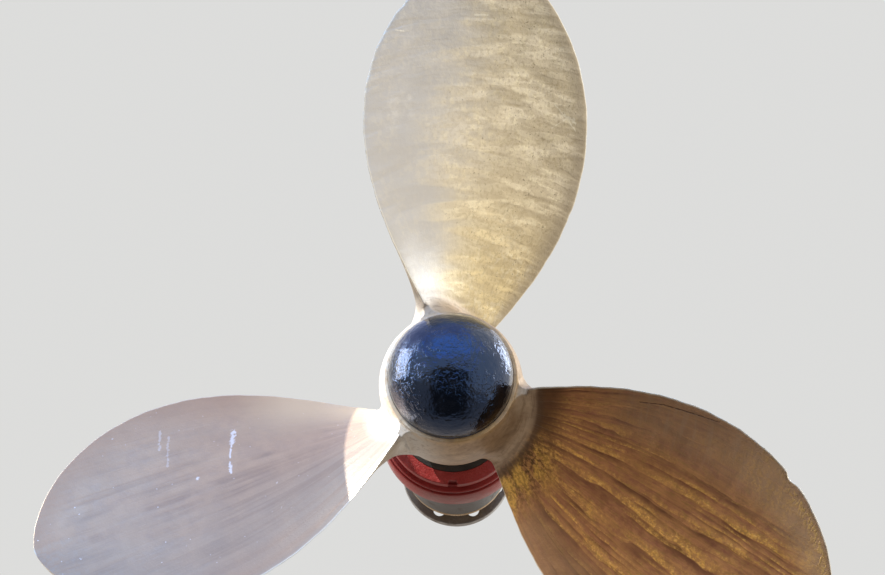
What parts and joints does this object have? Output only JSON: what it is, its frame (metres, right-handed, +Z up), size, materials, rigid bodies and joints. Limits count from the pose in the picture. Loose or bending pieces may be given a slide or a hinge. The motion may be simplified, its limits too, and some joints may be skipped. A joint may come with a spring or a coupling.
{
  "type": "ship propeller",
  "caption": "Cast bronze screw propeller with broad curved blades and a rounded cap, on a tail shaft that turns in a short stern tube held by a stern boss.",
  "frame": {"origin": "on the flat forward face of the stern boss, straight below the shaft line, where the boss meets the stern post", "axes": "+Y ahead along the shaft, +X to starboard, +Z up; the blades are aft of the origin, at negative Y"},
  "size_m": [3.0714, 2.2273, 2.8862],
  "materials": {
    "cast_bronze": "cast and ground bronze with brown and golden patina",
    "turned_bronze": "turned bronze",
    "black_enamel": "glossy brushed black enamel",
    "red_paint": "matt red bottom paint on cast steel",
    "forged_steel": "turned forged steel",
    "cast_iron": "cast iron, primed",
    "lignum_vitae": "oily dense hardwood",
    "rubber": "black rubber",
    "greased_hemp": "greased plaited hemp"
  },
  "bodies": {
    "stern": {"stern_boss": "red_paint", "stern_tube_nut": "red_paint", "stern_tube": "cast_iron", "aft_bearing_bush": "turned_bronze", "bearing_staves": "lignum_vitae", "stave_check_ring": "turned_bronze", "forward_bearing_bush": "turned_bronze", "packing_ring_1": "greased_hemp", "packing_ring_2": "greased_hemp", "packing_ring_3": "greased_hemp", "packing_ring_4": "greased_hemp", "packing_gland": "turned_bronze"},
    "rotor": {"propeller_casting": "cast_bronze", "cap": "black_enamel", "cap_joint_ring": "rubber", "propeller_nut": "turned_bronze", "nut_stopper": "forged_steel", "tail_shaft": "forged_steel", "shaft_key": "forged_steel", "shaft_liner": "turned_bronze", "shaft_seal_ring": "rubber"}
  },
  "joints": [
    {"name": "propeller_spin", "type": "hinge", "parent": "stern", "child": "rotor", "pos_m": [0, -0.815, 0.286], "axis": [0, 1, 0], "continuous": true}
  ]
}
